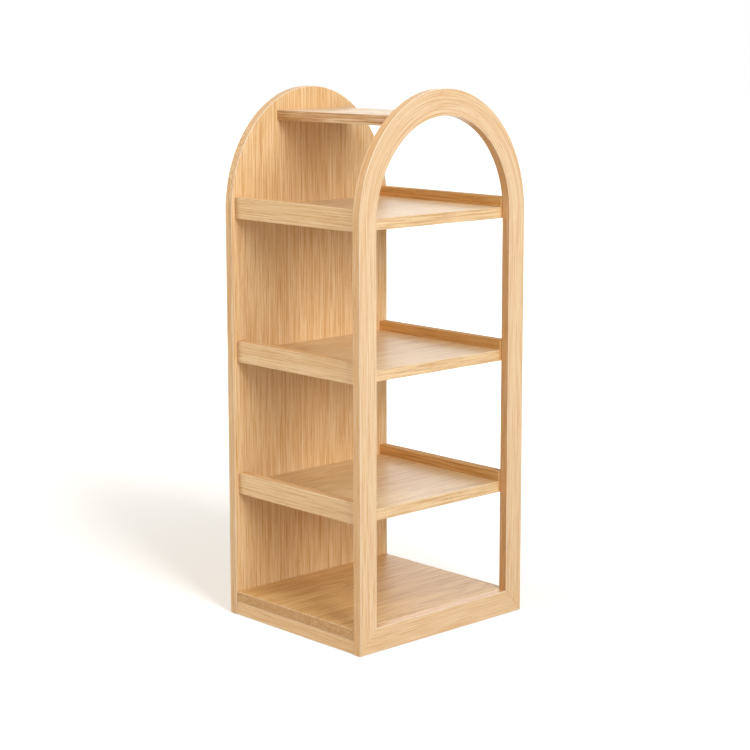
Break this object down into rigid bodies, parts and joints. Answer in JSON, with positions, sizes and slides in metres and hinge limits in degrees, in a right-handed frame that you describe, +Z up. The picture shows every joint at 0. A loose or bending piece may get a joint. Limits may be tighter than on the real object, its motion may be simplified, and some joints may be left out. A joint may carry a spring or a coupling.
{
  "type": "shelf unit",
  "caption": "Free-standing wooden shelf unit between a solid arched end and an open bent arch, with railed shelves, a base on a plinth and a scooped top board.",
  "frame": {"origin": "on the floor under the centre of the bounding box", "axes": "+Z up; +X from the solid end panel to the open arch; -Y is the front"},
  "size_m": [0.354, 0.4, 0.961],
  "materials": {
    "oak_arch": "pale oak, bent, satin lacquer",
    "oak_panel": "oak, upright grain, satin lacquer",
    "oak_board": "oak, satin lacquer",
    "oak_rail": "oak, long grain, satin lacquer",
    "beech": "bare beech dowel",
    "birch_ply": "bare plywood tongue",
    "felt": "pressed felt"
  },
  "bodies": {
    "root": {"end_panel": "oak_panel", "arch_hoop": "oak_arch", "arch_sill": "oak_arch", "base_board": "oak_board", "top_board": "oak_board", "plinth_front": "oak_rail", "plinth_back": "oak_rail", "mitre_spline_front": "birch_ply", "mitre_spline_back": "birch_ply", "lower_shelf": "oak_board", "lower_front_rail": "oak_rail", "lower_back_rail": "oak_rail", "middle_shelf": "oak_board", "middle_front_rail": "oak_rail", "middle_back_rail": "oak_rail", "upper_shelf": "oak_board", "upper_front_rail": "oak_rail", "upper_back_rail": "oak_rail", "glide_panel_front": "felt", "glide_panel_back": "felt", "glide_arch_front": "felt", "glide_arch_back": "felt", "dowel_lower_front_rail_panel": "beech", "dowel_lower_front_rail_arch": "beech", "dowel_lower_shelf_front": "beech", "dowel_lower_back_rail_panel": "beech", "dowel_lower_back_rail_arch": "beech", "dowel_lower_shelf_back": "beech", "dowel_middle_front_rail_panel": "beech", "dowel_middle_front_rail_arch": "beech", "dowel_middle_shelf_front": "beech", "dowel_middle_back_rail_panel": "beech", "dowel_middle_back_rail_arch": "beech", "dowel_middle_shelf_back": "beech", "dowel_upper_front_rail_panel": "beech", "dowel_upper_front_rail_arch": "beech", "dowel_upper_shelf_front": "beech", "dowel_upper_back_rail_panel": "beech", "dowel_upper_back_rail_arch": "beech", "dowel_upper_shelf_back": "beech", "dowel_base_front_panel": "beech", "dowel_plinth_front_panel": "beech", "dowel_top_panel_front": "beech", "dowel_base_front_arch": "beech", "dowel_plinth_front_arch": "beech", "dowel_top_arch_front": "beech", "dowel_base_back_panel": "beech", "dowel_plinth_back_panel": "beech", "dowel_top_panel_back": "beech", "dowel_base_back_arch": "beech", "dowel_plinth_back_arch": "beech", "dowel_top_arch_back": "beech"}
  },
  "joints": []
}
